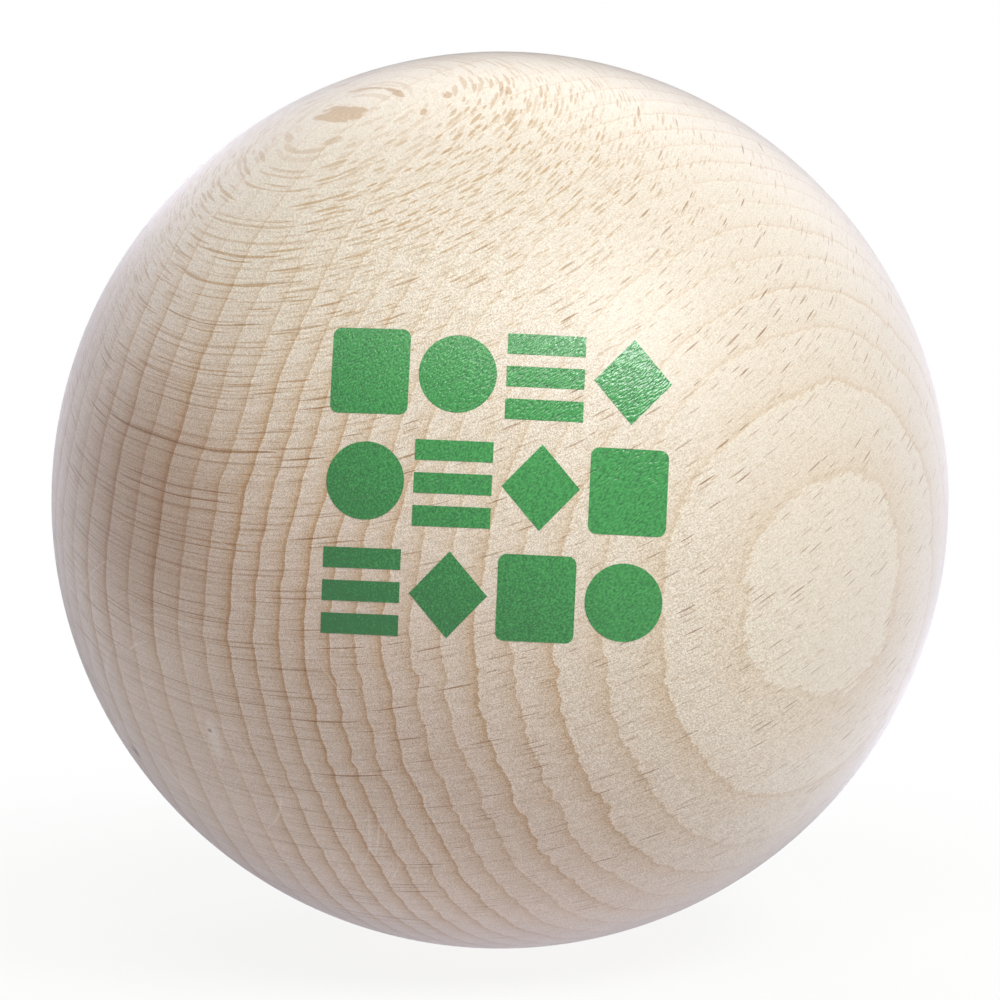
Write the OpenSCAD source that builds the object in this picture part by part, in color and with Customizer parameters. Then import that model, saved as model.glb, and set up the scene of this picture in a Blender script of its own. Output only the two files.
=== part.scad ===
// A turned beech ball with a printed block of plain green marks.
// The origin is the ball's centre. Z is up, and the print faces the front, which is -Y.

/* [Ball] */
// Diameter of the ball
ball_d = 70; // [40:1:120]

/* [Print block] */
// Number of rows of marks
print_rows = 3; // [1:1:4]
// Number of marks in a row
print_columns = 4; // [1:1:5]
// Width of one mark
mark_w = 5.7; // [3:0.1:6]
// Height of one mark
mark_h = 6.3; // [3:0.1:7]
// Gap between two marks in a row
column_gap = 0.7; // [0.3:0.1:1.5]
// Gap between two rows
row_gap = 1.75; // [0.5:0.05:2.5]
// Corner radius of the square mark
corner_r = 0.6; // [0.1:0.1:1.4]
// Height of the gap between two bars of the striped mark
bar_gap = 0.9; // [0.3:0.1:1]
// Number of bars in the striped mark
bar_count = 3; // [2:1:3]
// Thickness of the ink film
ink_t = 0.03; // [0.02:0.01:0.1]

/* [Print placing] */
// How far the middle of the print looks up from level, in degrees
print_tilt = 10; // [-30:1:30]
// How far the print turns clockwise, seen from the front, in degrees
print_roll = 2.5; // [-10:0.5:10]

/* [Hidden] */
$fn = 96;
ball_r = ball_d / 2;
film_r = ball_r + ink_t;
column_pitch = mark_w + column_gap;
row_pitch = mark_h + row_gap;
bar_h = (mark_h - (bar_count - 1) * bar_gap) / bar_count;
mark_kinds = 4;

// A block with round corners, centred
module square_mark() {
    inner_w = mark_w - 2 * corner_r;
    inner_h = mark_h - 2 * corner_r;
    square([inner_w, mark_h], center = true);
    square([mark_w, inner_h], center = true);
    for (x = [-1, 1], y = [-1, 1])
        translate([x * inner_w / 2, y * inner_h / 2])
            circle(r = corner_r);
}

// A disc as wide as a mark
module disc_mark() {
    circle(d = mark_w);
}

// Level bars that fill the height of a mark
module bar_mark() {
    for (i = [0:bar_count - 1])
        translate([0, (i - (bar_count - 1) / 2) * (bar_h + bar_gap)])
            square([mark_w, bar_h], center = true);
}

// A four-sided mark that stands on its point
module diamond_mark() {
    polygon([[-mark_w / 2, 0], [0, -mark_h / 2], [mark_w / 2, 0], [0, mark_h / 2]]);
}

module mark(kind) {
    if (kind == 0) square_mark();
    if (kind == 1) disc_mark();
    if (kind == 2) bar_mark();
    if (kind == 3) diamond_mark();
}

// The flat artwork: each row starts with the next kind of mark
module print_artwork() {
    for (row = [0:print_rows - 1], column = [0:print_columns - 1])
        translate([
            (column - (print_columns - 1) / 2) * column_pitch,
            ((print_rows - 1) / 2 - row) * row_pitch
        ])
            mark((column + row) % mark_kinds);
}

// The wood, turned to a full round
module ball() {
    color("burlywood")
        sphere(r = ball_r);
}

// The ink film: the artwork pressed straight onto the ball's front, along the print's axis
module print_marks() {
    color("seagreen")
        rotate([90 - print_tilt, 0, 0])
            rotate([0, 0, -print_roll])
                difference() {
                    intersection() {
                        sphere(r = film_r);
                        linear_extrude(height = film_r)
                            print_artwork();
                    }
                    sphere(r = ball_r);
                }
}

ball();
print_marks();
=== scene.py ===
import math

import bpy
from mathutils import Matrix, Vector


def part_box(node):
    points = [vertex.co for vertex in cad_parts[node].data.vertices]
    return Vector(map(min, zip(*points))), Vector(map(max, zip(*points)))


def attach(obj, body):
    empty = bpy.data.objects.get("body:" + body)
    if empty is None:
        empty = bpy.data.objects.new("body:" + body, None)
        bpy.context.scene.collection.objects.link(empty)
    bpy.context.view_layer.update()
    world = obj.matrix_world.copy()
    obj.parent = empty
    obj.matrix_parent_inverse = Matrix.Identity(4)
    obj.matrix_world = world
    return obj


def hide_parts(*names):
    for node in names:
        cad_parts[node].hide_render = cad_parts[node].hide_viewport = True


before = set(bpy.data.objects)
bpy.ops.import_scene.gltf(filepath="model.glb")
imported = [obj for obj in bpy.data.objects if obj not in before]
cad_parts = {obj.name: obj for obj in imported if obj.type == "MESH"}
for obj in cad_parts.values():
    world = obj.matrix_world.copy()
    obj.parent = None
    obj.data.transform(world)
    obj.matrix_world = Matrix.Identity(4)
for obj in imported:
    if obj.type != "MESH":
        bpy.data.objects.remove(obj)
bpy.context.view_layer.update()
ballRadius = min(abs(value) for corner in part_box("ball") for value in corner)
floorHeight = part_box("ball")[0].z
mm = 0.001


# camera, in the photograph's place

cameraView = {
    "azimuth": 0.4,          # degrees round to the right of the front
    "elevation": 8.3,        # degrees above level
    "distance": 14,          # from the ball's centre, in ball radii
    "ballWidth": 0.8972,     # the ball's width as a share of the picture's
    "sensor": 36,            # mm
    "clipStart": 0.01,       # m
}


def directionOf(azimuth, elevation):      # a unit vector, 0 degrees is the front
    turn, rise = math.radians(azimuth), math.radians(elevation)
    return Vector((math.sin(turn) * math.cos(rise), -math.cos(turn) * math.cos(rise), math.sin(rise)))


def makeCamera():
    distance = cameraView["distance"]
    place = directionOf(cameraView["azimuth"], cameraView["elevation"]) * distance * ballRadius
    bpy.ops.object.camera_add(location=place)
    camera = bpy.context.object
    camera.name = "camera"
    camera.rotation_euler = (-place).to_track_quat("-Z", "Y").to_euler()
    halfView = math.tan(math.asin(1 / distance)) / cameraView["ballWidth"]
    camera.data.sensor_width = cameraView["sensor"]
    camera.data.lens = cameraView["sensor"] / 2 / halfView
    camera.data.clip_start = cameraView["clipStart"]
    bpy.context.scene.camera = camera
    return camera


camera = makeCamera()
print("camera placed, lens", round(camera.data.lens, 1))


# shader maths

class Wire:                               # a shader socket that Python can calculate with
    def __init__(self, tree, socket=None):
        self.tree = tree
        self.socket = socket

    def node(self, kind, settings=None, inputs=None, output=0):
        made = self.tree.nodes.new(kind)
        for name, value in (settings or {}).items():
            setattr(made, name, value)
        for key, value in (inputs or {}).items():
            socket = pickSocket(made.inputs, key)
            if isinstance(value, Wire):
                self.tree.links.new(value.socket, socket)
            else:
                socket.default_value = value
        return Wire(self.tree, pickSocket(made.outputs, output))

    def also(self, output):               # another output of the same node
        return Wire(self.tree, pickSocket(self.socket.node.outputs, output))

    def math(self, operation, *values):
        inputs = dict(enumerate((self, *values)))
        return self.node("ShaderNodeMath", {"operation": operation}, inputs)

    def __add__(self, other):
        return self.math("ADD", other)

    def __sub__(self, other):
        return self.math("SUBTRACT", other)

    def __rsub__(self, other):
        return self.node("ShaderNodeMath", {"operation": "SUBTRACT"}, {0: other, 1: self})

    def __mul__(self, other):
        return self.math("MULTIPLY", other)

    def __truediv__(self, other):
        return self.math("DIVIDE", other)

    def __pow__(self, other):
        return self.math("POWER", other)

    def __abs__(self):
        return self.math("ABSOLUTE")

    __radd__ = __add__

    def rise(self, low, high):            # 0 below low, 1 above high, smooth between
        inputs = {"Value": self, "From Min": low, "From Max": high}
        return self.node("ShaderNodeMapRange", {"interpolation_type": "SMOOTHSTEP"}, inputs)

    def paint(self, below, above, how="MIX"):     # mixes two colours, with this as the factor
        inputs = {"Factor": self, "A": below, "B": above}
        return self.node("ShaderNodeMix", {"data_type": "RGBA", "blend_type": how}, inputs)


def pickSocket(sockets, key):             # by place or name, among the sockets in use
    used = [socket for socket in sockets if socket.enabled]
    return used[key] if isinstance(key, int) else next(s for s in used if s.name == key)


def newMaterial(name):
    material = bpy.data.materials.new(name)
    material.use_nodes = True
    material.node_tree.nodes.clear()
    return material, Wire(material.node_tree)


def finishMaterial(start, surface):
    output = start.tree.nodes.new("ShaderNodeOutputMaterial")
    start.tree.links.new(surface.socket, output.inputs["Surface"])


# beech: one block of wood with its own grain, which the ball was turned from

beech = {
    "grain": (0.648, 0.604, 0.463),       # runs along the tree's trunk
    "bark": (0.725, -0.675, -0.133),      # points out to the bark
    "heartAway": 381,                     # from the ball's centre to the tree's heart, mm
    "ringWidth": 2.28,                    # middling growth ring, mm
    "ringStart": 6.26,                    # rings between the ball's centre and ring number 0
    "ringSwell": 0.96,                    # slow change of the ring width, in rings
    "swellLength": 50.5,                  # mm
    "swellStart": -2.3,                   # radians
    "waveDepth": 0.36,                    # waves round the trunk that all rings share, mm
    "waveLength": 31,                     # mm
    "wavePlace": 5,                       # mm
    "ringChance": 385,                    # another number gives other rings the strong lines
    "rayLean": (0.01, -0.065),            # lean of the rays at the top left, along and outward
    "leanReach": 34,                      # mm from the middle plane, where the lean is full
    "broadRay": {"cell": (2.9, 0.42), "half": (0.85, 0.055)},    # room for each and half its size, mm
    "fineRay": {"cell": (1.3, 0.19), "half": (0.42, 0.045)},
    "flecks": [(0.24, -35.35, 1.3, 0.13), (4.17, -35.04, 0.55, 0.06), (2.46, -34.61, 0.45, 0.07),
               (5.44, -34.35, 0.5, 0.08), (8.77, -33.05, 0.6, 0.09)],
    "pale": (0.93, 0.85, 0.735, 1),       # all the tints below multiply it
    "lateWood": (0.96, 0.96, 0.97, 1),    # all of a ring but its first fifth
    "ringBand": (0.80, 0.65, 0.46, 1),
    "ringLine": (0.77, 0.60, 0.40, 1),
    "rayBrown": (0.45, 0.29, 0.18, 1),    # broad rays on the bark side, the end grain and beside
    "rayGold": (0.53, 0.37, 0.205, 1),
    "rayTan": (0.725, 0.575, 0.395, 1),
    "poreTint": (0.67, 0.63, 0.57, 1),
    "stripeTint": (0.78, 0.67, 0.53, 1),
    "endToneAndShadeTint": (0.85, 0.765, 0.785, 1),   # darker and pinker towards the end grain at the lower left: partly the end grain's own tone, partly painted shade
    "paintedShadePatch": (-28, -5, -18, 14, 14, 14),            # painted shade on the left: along, depth, arc and three radii, mm
    "paintedShadeTint": (0.76, 0.69, 0.63, 1),
    "smudge": (-33.1, -10.4, 4.7, 1, 1.1, 0.9),         # dirt in the dent at the left
    "smudgeTint": (0.4, 0.38, 0.37, 1),
    "nick": (-34.8, 2.3, -2.75, 0.4, 0.34, 0.2),        # and in the nick beside the sanded streak
    "nickTint": (0.4, 0.33, 0.27, 1),
    "worn": (-35, 0, 0, 16, 16, 16),                    # where the ball was cut off the lathe
    "sanded": (-34.8, 2.6, -2.1, 2, 0.9, 2.6),
    "bareTint": (0.84, 0.79, 0.76, 1),
    "ringDrift": (0.07, 0.05, 0.22),      # changes per mm along, outward and round, as all below
    "driftDepth": 1.1,                    # mm
    "ringDents": (0.25, 0.06, 0.6),
    "ringTeeth": (0.6, 0.1, 3),
    "rayBend": (0.12, 0.1, 0.12),
    "bendDepth": 0.6,                     # mm
    "fleckEdge": (1.1, 0.9, 0),
    "edgeDepth": 1.6,                     # as a share of the fleck's half width
    "fibres": (6, 14, 14),
    "stripes": (0.9, 0.12, 7.5),
    "turning": (10, 0.12, 0.12),
    "bumpDepth": 0.03,                    # mm
    "roughness": 0.45,
    "sheen": (1.0, 0.4, (0.88, 0.86, 1.0, 1)),          # strength, roughness and tint
}


def woodSpace(start):                     # places in the wood, mm: along the grain, outward, round
    grain = Vector(beech["grain"]).normalized()
    bark = Vector(beech["bark"])
    bark = (bark - bark.dot(grain) * grain).normalized()
    turn = Matrix((grain, bark, grain.cross(bark))).to_euler()
    place = start.node("ShaderNodeTexCoord", None, None, "Object")
    inputs = {"Vector": place, "Rotation": turn, "Scale": (1 / mm, 1 / mm, 1 / mm)}
    turned = start.node("ShaderNodeMapping", None, inputs)
    along = start.node("ShaderNodeSeparateXYZ", None, {"Vector": turned})
    outward, across = along.also("Y"), along.also("Z")
    heart = beech["heartAway"]
    fromHeart = outward + heart
    depth = (fromHeart * fromHeart + across * across).math("SQRT") - heart
    arc = across * heart / fromHeart
    return along, depth, arc


def woodNoise(start, place, scales, detail=2, roughness=0.5):
    along, depth, arc = place
    spot = start.node("ShaderNodeCombineXYZ", None, {
        "X": along * scales[0], "Y": depth * scales[1], "Z": arc * scales[2]})
    inputs = {"Vector": spot, "Scale": 1, "Detail": detail, "Roughness": roughness}
    return start.node("ShaderNodeTexNoise", {"noise_dimensions": "3D"}, inputs) - 0.5


def growthRings(start, place, endGrain, frontEnd):        # each ring's slow browning and its end line
    along, depth, arc = place
    wave = ((arc - beech["wavePlace"]) * (2 * math.pi / beech["waveLength"])).math("COSINE")
    shift = wave * (depth * -0.02 + 1.4) * beech["waveDepth"]
    shift = shift + woodNoise(start, place, beech["ringDrift"], 2, 0.6) * beech["driftDepth"]
    dented = arc.rise(-20, -4) * depth.rise(4, 20) + 0.2        # mostly at the lower right
    dents = abs(woodNoise(start, place, beech["ringDents"], 1)) * dented
    teeth = abs(woodNoise(start, place, beech["ringTeeth"], 1)) * (0.7 - frontEnd * 0.5)
    shift = shift + dents * (endGrain * 0.8 + 0.25) + teeth
    inside = depth - shift
    swell = (inside * (2 * math.pi / beech["swellLength"]) + beech["swellStart"]).math("SINE")
    count = inside / beech["ringWidth"] + swell * beech["ringSwell"] + beech["ringStart"]
    number = count.math("FLOOR")
    share = count - number
    chance = start.node("ShaderNodeTexWhiteNoise", {"noise_dimensions": "1D"}, {
        "W": number + beech["ringChance"]})
    strength = chance * 0.6 + 0.5
    line = share.rise(0.8, 0.95) * endGrain + share.rise(0.9, 0.97) * (1 - endGrain) * 0.6
    return share.rise(0.3, 1.0) * strength, line * strength, share.rise(0.02, 0.2)


def rays(start, place, kind, grow, even):         # upright lenses that run outward from the heart
    along, depth, arc = place
    (cellLong, cellWide), (halfLong, halfWide) = kind["cell"], kind["half"]
    spot = start.node("ShaderNodeCombineXYZ", None, {"X": along / cellLong, "Y": arc / cellWide})
    cell = start.node("ShaderNodeTexVoronoi", {"voronoi_dimensions": "2D", "feature": "F1"}, {
        "Vector": spot, "Scale": 1, "Randomness": 1}, "Color")
    chance = start.node("ShaderNodeSeparateColor", None, {"Color": cell})
    offset = start.node("ShaderNodeVectorMath", {"operation": "SUBTRACT"}, {
        0: spot, 1: cell.also("Position")})
    aside = start.node("ShaderNodeSeparateXYZ", None, {"Vector": offset})
    size = chance * chance * 0.9 + 0.5
    lengthwise = aside * (cellLong / halfLong) / (size * grow)
    thickness = (size + (0.8 - size) * even * 0.5) * (even * 0.5 + 1)
    sideways = abs(aside.also("Y")) * (cellWide / halfWide) / thickness
    inside = 1 - lengthwise * lengthwise - sideways
    strength = chance.also("Green")
    strength = strength * (strength * (1 - even * 0.8) + even * 0.7)
    return inside.rise(0, 0.4) * (strength * 0.95 + even * 0.14 + 0.05)


def fleck(along, arc, ragged, values):    # one ray that lies nearly flat in the ball's face
    alongPlace, arcPlace, halfLong, halfWide = values
    lengthwise = (along - alongPlace) / halfLong
    sideways = abs(arc - arcPlace) / halfWide
    return (1 - (lengthwise ** 6) - sideways + ragged).rise(0, 0.4)


def patch(place, values):                 # a patch with a soft edge: its centre and its three radii
    offsets = [(wire - centre) / radius for wire, centre, radius in zip(place, values[:3], values[3:])]
    square = sum(offset * offset for offset in offsets)
    return 1 - square.math("SQRT").rise(0.2, 1)


def beechParts(start):
    along, depth, arc = place = woodSpace(start)
    radius = ballRadius / mm
    aside = arc / beech["leanReach"]
    lean = aside * aside * aside
    bent = arc + lean * (along * beech["rayLean"][0] + depth * beech["rayLean"][1])
    bend = woodNoise(start, place, beech["rayBend"], 1) * beech["bendDepth"]
    bentPlace = (along, depth, bent + bend)
    facing = abs(along) / radius
    endGrain = facing.rise(0.2, 0.9)              # where the grain points out of the face
    frontEnd = endGrain * (along * -1).rise(-1, 1)
    left = frontEnd * (1 - depth.rise(4, 20))     # the part of it that is nearer the heart
    # darker towards the end grain at the lower left: partly its own tone, partly painted shade
    endToneAndShade = (arc * 0.5 - along - depth * 0.4).rise(-6, 24)
    side = abs(bent) / radius
    quarter = side.rise(0.6, 0.97)                # where the rays show their broad sides
    sparse = 1 - side.rise(0.95, 1) * 0.5         # few rays show where they lie flat in the face
    parts = {"place": place, "frontEnd": frontEnd, "quarter": quarter, "endToneAndShade": endToneAndShade}
    front = ((2 - along) / radius).rise(0.1, 0.5)
    parts["rough"] = front + facing.rise(0.6, 0.95) * (1 - front) * 0.7 - facing.rise(0.85, 1) * 0.5
    band, parts["line"], parts["late"] = growthRings(start, place, endGrain, frontEnd)
    parts["band"] = band * (frontEnd * 0.78 + depth.rise(28, 34) * 0.15 + 0.09)
    parts["line"] = parts["line"] * (1 - depth.rise(28, 34) * 0.5)
    parts["late"] = parts["late"] * (frontEnd * 0.5 + 0.5)
    grow = left * 0.7 + frontEnd * 0.5 - endGrain * 0.4 + 1
    broad = rays(start, bentPlace, beech["broadRay"], grow, left) * sparse
    parts["grooves"] = broad                      # the flecks lie flat and have no relief
    ragged = woodNoise(start, place, beech["fleckEdge"], 1) * beech["edgeDepth"]
    for values in beech["flecks"]:
        broad = broad.math("MAXIMUM", fleck(along, bent, ragged, values))
    parts["broad"] = broad
    fine = rays(start, bentPlace, beech["fineRay"], left * 0.4 + quarter + 1, quarter)
    parts["fine"] = fine * (quarter * 0.5 + left * 0.55 - frontEnd * 0.2 + 0.65) * sparse
    parts["fibre"] = woodNoise(start, place, beech["fibres"], 0.5)
    stripes = woodNoise(start, bentPlace, beech["stripes"], 0).rise(-0.1, 0.2)
    parts["stripes"] = stripes * (1 - quarter * 0.7)
    return parts


def beechMaterial():
    material, start = newMaterial("beech")
    wood = beechParts(start)
    place, quarter, rough = wood["place"], wood["quarter"], wood["rough"]
    rayTint = quarter.paint(wood["frontEnd"].paint(beech["rayBrown"], beech["rayGold"]), beech["rayTan"])
    fresh = 1 - patch(place, beech["worn"]) * 0.55
    tints = [
        (wood["late"], beech["lateWood"]),
        (wood["band"] * fresh, beech["ringBand"]),
        (wood["line"] * fresh * 0.6, beech["ringLine"]),
        (wood["stripes"] * (rough * 0.22 + 0.1), beech["stripeTint"]),
        (wood["fibre"] * (rough * 3 + quarter * 0.6 + 1.5) + 0.45, beech["poreTint"]),
        (wood["fine"], beech["rayTan"]),
        (wood["broad"] * fresh * 0.95, rayTint),
        # painted shade in part: darker and pinker towards the lower left
        (wood["endToneAndShade"], beech["endToneAndShadeTint"]),
        # painted shade: a soft dark patch over the left side
        (patch(place, beech["paintedShadePatch"]), beech["paintedShadeTint"]),
        (patch(place, beech["smudge"]), beech["smudgeTint"]),
        (patch(place, beech["nick"]), beech["nickTint"]),
    ]
    colour = beech["pale"]
    for share, tint in tints:
        colour = share.paint(colour, tint, "MULTIPLY")
    nearEnd = (place[0] * -1).rise(27, 31)        # turning arcs show only round the end grain
    turned = woodNoise(start, place, beech["turning"], 1).rise(0.12, 0.3) * nearEnd
    bare = patch(place, beech["sanded"]).math("MAXIMUM", turned)
    colour = (bare * 0.35).paint(colour, beech["bareTint"])
    height = wood["fibre"] * (rough * 1.1 + 0.5) - wood["grooves"]
    bump = start.node("ShaderNodeBump", None, {
        "Strength": 0.5, "Distance": beech["bumpDepth"] * mm, "Height": height})
    sheen, sheenRoughness, sheenTint = beech["sheen"]
    surface = start.node("ShaderNodeBsdfPrincipled", None, {
        "Base Color": colour, "Roughness": wood["broad"] * 0.1 + beech["roughness"], "Normal": bump,
        "IOR": 1.5, "Sheen Weight": sheen, "Sheen Roughness": sheenRoughness, "Sheen Tint": sheenTint})
    finishMaterial(start, surface)
    return material


# the ball

ballMesh = {
    "cuts": 95,                           # cuts across each side of the starting cube
    "dents": [                            # azimuth, elevation, radius and depth in mm
        (-68.2, -30.8, 0.8, 0.07),
        (-42.1, -23.4, 0.25, 0.1),
        (-41.7, -27.8, 0.2, 0.07),
    ],
    "dentCuts": 5,                        # finer faces round a dent
    "dentReach": 2.5,                     # how far they go, in the dent's radii
}


def clearSelection():
    bpy.ops.object.select_all(action="DESELECT")


def applyModifiers(piece):
    bpy.context.view_layer.objects.active = piece
    for modifier in list(piece.modifiers):
        bpy.ops.object.modifier_apply(modifier=modifier.name)


def pressDent(ball, azimuth, elevation, radius, depth):
    middle = directionOf(azimuth, elevation) * ballRadius
    bpy.ops.object.mode_set(mode="EDIT")
    bpy.ops.mesh.select_all(action="DESELECT")
    bpy.ops.object.mode_set(mode="OBJECT")
    for face in ball.data.polygons:
        face.select = (face.center - middle).length < radius * ballMesh["dentReach"]
    bpy.ops.object.mode_set(mode="EDIT")
    bpy.ops.mesh.subdivide(number_cuts=ballMesh["dentCuts"])
    bpy.ops.object.mode_set(mode="OBJECT")
    for vertex in ball.data.vertices:
        away = (vertex.co - middle).length / radius
        if away < ballMesh["dentReach"] + 0.5:    # the finer faces are rounded too
            share = max(0, 1 - away * away)
            vertex.co = vertex.co.normalized() * (ballRadius - depth * share * share)


def makeBall(material):
    clearSelection()
    bpy.ops.mesh.primitive_cube_add(size=ballRadius)
    ball = bpy.context.object
    ball.name = "turned_ball"
    bpy.ops.object.mode_set(mode="EDIT")
    bpy.ops.mesh.subdivide(number_cuts=ballMesh["cuts"])
    bpy.ops.object.mode_set(mode="OBJECT")
    swell = ball.modifiers.new("swell", "CAST")
    swell.cast_type = "SPHERE"
    swell.factor = 1
    swell.use_radius_as_size = False
    swell.size = ballRadius
    applyModifiers(ball)
    for azimuth, elevation, radius, depth in ballMesh["dents"]:
        pressDent(ball, azimuth, elevation, radius * mm, depth * mm)
    bpy.ops.object.shade_smooth()
    ball.data.materials.append(material)
    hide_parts("ball")
    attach(ball, "root")
    return ball


beechWood = beechMaterial()
print("beech mixed")
ball = makeBall(beechWood)
print("ball made, faces", len(ball.data.polygons))


# the printed marks

printBlock = {
    "rows": 3,
    "columns": 4,
    "mark": (5.7 * mm, 6.3 * mm),         # width and height of one mark
    "gap": (0.7 * mm, 1.75 * mm),         # between columns and between rows
    "corner": 0.6 * mm,                   # radius of the square's corners
    "bars": 3,
    "barGap": 0.9 * mm,
    "film": 0.03 * mm,                    # thickness of the ink
    "tilt": 10,                           # degrees that the print looks up
    "roll": 2.5,                          # degrees clockwise
    "fineness": 0.15 * mm,                # size of the faces
    "cornerSteps": 4,
    "discCorners": 48,
    "inkDark": (0.014, 0.16, 0.036, 1),
    "inkLight": (0.056, 0.36, 0.084, 1),
    "inkOnRay": (0.04, 0.15, 0.05, 1),    # where a broad ray of the wood shows through
    "inkStreaks": (2.4, 9, 9),            # changes per mm along the grain, outward and round
    "inkBump": 0.055,                     # mm
    "inkRoughness": 0.21,
}


def cutOutline(corners):                  # cuts the selected flat faces along each side of a convex outline
    for start, end in zip(corners, corners[1:] + corners[:1]):
        bpy.ops.mesh.select_all(action="SELECT")
        outward = (end - start).cross(Vector((0, 0, 1))).normalized()
        bpy.ops.mesh.bisect(plane_co=start, plane_no=outward, clear_outer=True, threshold=1e-6)


def squareOutline():
    width, height = printBlock["mark"]
    radius = printBlock["corner"]
    corners = []
    steps = printBlock["cornerSteps"]
    for quarter, (x, y) in enumerate(((1, 1), (-1, 1), (-1, -1), (1, -1))):
        for step in range(steps + 1):
            angle = math.radians(90 * (quarter + step / steps))
            corners.append(Vector((x * (width / 2 - radius) + radius * math.cos(angle),
                                   y * (height / 2 - radius) + radius * math.sin(angle), 0)))
    return [corners]


def discOutline():
    radius = printBlock["mark"][0] / 2
    angles = [math.tau * i / printBlock["discCorners"] for i in range(printBlock["discCorners"])]
    return [[Vector((radius * math.cos(angle), radius * math.sin(angle), 0)) for angle in angles]]


def barOutlines():
    width, height = printBlock["mark"]
    count, gap = printBlock["bars"], printBlock["barGap"]
    tall = (height - (count - 1) * gap) / count
    outlines = []
    for i in range(count):
        middle = (i - (count - 1) / 2) * (tall + gap)
        outlines.append([Vector((x * width / 2, middle + y * tall / 2, 0))
                         for x, y in ((1, -1), (1, 1), (-1, 1), (-1, -1))])
    return outlines


def diamondOutline():
    width, height = printBlock["mark"]
    return [[Vector((width / 2, 0, 0)), Vector((0, height / 2, 0)),
             Vector((-width / 2, 0, 0)), Vector((0, -height / 2, 0))]]


def makeStamp(outlines):                  # one flat mark at the middle, cut from fine grids
    pieces = []
    for outline in outlines:
        low = [min(corner[axis] for corner in outline) for axis in (0, 1)]
        high = [max(corner[axis] for corner in outline) for axis in (0, 1)]
        clearSelection()
        sides = [high[axis] - low[axis] for axis in (0, 1)]
        bpy.ops.mesh.primitive_grid_add(
            size=1, x_subdivisions=max(2, round(sides[0] / printBlock["fineness"])),
            y_subdivisions=max(2, round(sides[1] / printBlock["fineness"])),
            location=((low[0] + high[0]) / 2, (low[1] + high[1]) / 2, 0))
        piece = bpy.context.object
        piece.scale = (sides[0], sides[1], 1)
        bpy.ops.object.transform_apply(location=True, rotation=False, scale=True)
        bpy.ops.object.mode_set(mode="EDIT")
        cutOutline(outline)
        bpy.ops.object.mode_set(mode="OBJECT")
        pieces.append(piece)
    return joinPieces(pieces)


def joinPieces(pieces):
    clearSelection()
    for piece in pieces:
        piece.select_set(True)
    bpy.context.view_layer.objects.active = pieces[0]
    if len(pieces) > 1:
        bpy.ops.object.join()
    return pieces[0]


def makePrint(material, ball):
    stamps = [makeStamp(outlines) for outlines in
              (squareOutline(), discOutline(), barOutlines(), diamondOutline())]
    pitch = [size + gap for size, gap in zip(printBlock["mark"], printBlock["gap"])]
    marks = []
    for row in range(printBlock["rows"]):
        for column in range(printBlock["columns"]):
            mark = stamps[(row + column) % len(stamps)].copy()
            mark.data = mark.data.copy()
            bpy.context.collection.objects.link(mark)
            across = (column - (printBlock["columns"] - 1) / 2) * pitch[0]
            upward = ((printBlock["rows"] - 1) / 2 - row) * pitch[1]
            mark.data.transform(Matrix.Translation((across, upward, 2 * ballRadius)))
            marks.append(mark)
    for stamp in stamps:
        bpy.data.objects.remove(stamp)
    marks = joinPieces(marks)
    marks.name = "printed_marks"
    tilt = Matrix.Rotation(math.radians(90 - printBlock["tilt"]), 4, "X")
    roll = Matrix.Rotation(math.radians(-printBlock["roll"]), 4, "Z")
    wrap = marks.modifiers.new("press", "SHRINKWRAP")
    wrap.wrap_method = "PROJECT"
    wrap.use_project_z = True
    wrap.use_negative_direction = True
    wrap.use_positive_direction = False
    wrap.target = ball
    marks.matrix_world = tilt @ roll
    bpy.context.view_layer.update()
    film = marks.modifiers.new("film", "SOLIDIFY")
    film.thickness = printBlock["film"]
    film.offset = 1
    film.use_even_offset = True
    applyModifiers(marks)
    clearSelection()
    marks.select_set(True)
    bpy.ops.object.transform_apply(location=True, rotation=True, scale=True)
    bpy.ops.object.shade_smooth_by_angle(angle=math.radians(40))
    marks.data.materials.clear()
    marks.data.materials.append(material)
    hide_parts("print_marks")
    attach(marks, "root")
    return marks


def inkMaterial():                        # a thin film, with the grain of the wood under it
    material, start = newMaterial("green ink")
    wood = beechParts(start)
    fibre = woodNoise(start, wood["place"], printBlock["inkStreaks"], 0.5)
    # the ink darkens towards the lower left: painted shade
    tone = fibre * 2.2 - wood["endToneAndShade"] * 0.9 + 0.64
    colour = tone.paint(printBlock["inkDark"], printBlock["inkLight"])
    colour = (wood["grooves"] * 0.35).paint(colour, printBlock["inkOnRay"])
    height = fibre - wood["grooves"] * 0.3
    bump = start.node("ShaderNodeBump", None, {
        "Strength": 1.0, "Distance": printBlock["inkBump"] * mm, "Height": height})
    surface = start.node("ShaderNodeBsdfPrincipled", None, {
        "Base Color": colour, "Roughness": printBlock["inkRoughness"], "Normal": bump, "IOR": 1.55})
    finishMaterial(start, surface)
    return material


greenInk = inkMaterial()
marks = makePrint(greenInk, ball)
print("print made, faces", len(marks.data.polygons))


# floor, background and light

studio = {
    "floorSize": 3,                       # m
    "lampAway": 1.2,                      # m
    "lamps": [                            # name, azimuth, elevation, size in m, power in W, colour
        ("key light", 45, 47, 0.5, 9.6, (1, 1, 1)),
        ("front light", 0, 54, 0.5, 4, (1, 1, 0.94)),
        ("left light", -60, 60, 0.8, 2.3, (1, 1, 0.94)),
        ("rim light", 150, 30, 0.8, 1.8, (0.9, 0.96, 1)),
        ("back light", 180, 45, 0.8, 4.6, (1, 0.95, 0.86)),
    ],
    "ambient": 0.035,                     # strength of the white surroundings
    "floorColour": (0.8, 0.8, 0.8, 1),
    "nearWhite": 0.88,                    # how white the floor is in view, close to the ball
    "whiteEdge": (0.04, 0.1),             # from the ball's centre, where it turns all white, m
    "nearEdge": (0.036, 0.046),           # and where the near glow ends, m
    "floorGlow": 0.15,                    # far from the ball
    "nearGlow": 0.5,                      # added close to it
}


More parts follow.
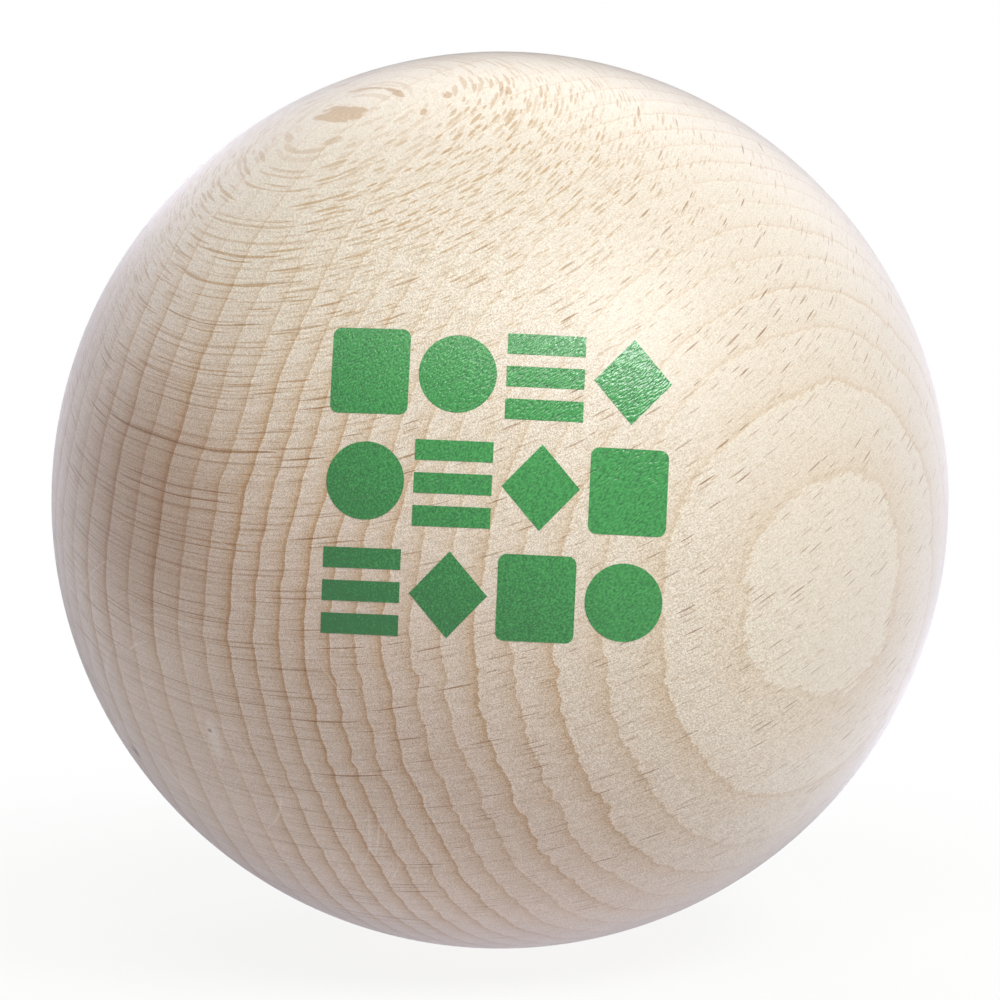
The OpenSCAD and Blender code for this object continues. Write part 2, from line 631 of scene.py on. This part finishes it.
def addLamp(name, azimuth, elevation, size, power, colour):
    place = directionOf(azimuth, elevation) * studio["lampAway"]
    bpy.ops.object.light_add(type="AREA", location=place)
    lamp = bpy.context.object
    lamp.name = name
    lamp.data.shape = "DISK"
    lamp.data.size = size
    lamp.data.energy = power
    lamp.data.color = colour
    lamp.rotation_euler = (-place).to_track_quat("-Z", "Y").to_euler()


def inViewRay(start):                     # 1 for the camera and what it sees by mirror or glass
    direct = start.node("ShaderNodeLightPath", None, None, "Is Camera Ray")
    glossy, through = direct.also("Is Glossy Ray"), direct.also("Is Transmission Ray")
    return direct.math("MAXIMUM", glossy).math("MAXIMUM", through)


def makeFloor():
    clearSelection()
    bpy.ops.mesh.primitive_plane_add(size=studio["floorSize"], location=(0, 0, floorHeight))
    floor = bpy.context.object
    floor.name = "floor"
    bpy.ops.object.transform_apply(location=True)
    material, start = newMaterial("pale floor")
    place = start.node("ShaderNodeTexCoord", None, None, "Object")
    away = start.node("ShaderNodeVectorMath", {"operation": "LENGTH"}, {0: place}, "Value")
    matte = start.node("ShaderNodeBsdfDiffuse", None, {"Color": studio["floorColour"]})
    white = start.node("ShaderNodeEmission", None, {"Color": (1, 1, 1, 1), "Strength": 1.0})
    glow = (1 - away.rise(*studio["nearEdge"])) * studio["nearGlow"] + studio["floorGlow"]
    inView = away.rise(*studio["whiteEdge"]) * (1 - studio["nearWhite"]) + studio["nearWhite"]
    share = inViewRay(start) * (inView - glow) + glow
    surface = start.node("ShaderNodeMixShader", None, {0: share, 1: matte, 2: white})
    finishMaterial(start, surface)
    floor.data.materials.append(material)


def makeWorld():
    world = bpy.data.worlds.new("white surroundings")
    bpy.context.scene.world = world
    world.use_nodes = True
    world.node_tree.nodes.clear()
    start = Wire(world.node_tree)
    strength = inViewRay(start) * (1 - studio["ambient"]) + studio["ambient"]
    light = start.node("ShaderNodeBackground", None, {"Color": (1, 1, 1, 1), "Strength": strength})
    output = world.node_tree.nodes.new("ShaderNodeOutputWorld")
    world.node_tree.links.new(light.socket, output.inputs["Surface"])


makeFloor()
makeWorld()
for lamp in studio["lamps"]:
    addLamp(*lamp)
bpy.context.scene.view_settings.view_transform = "Standard"
print("floor, surroundings and lamps made")
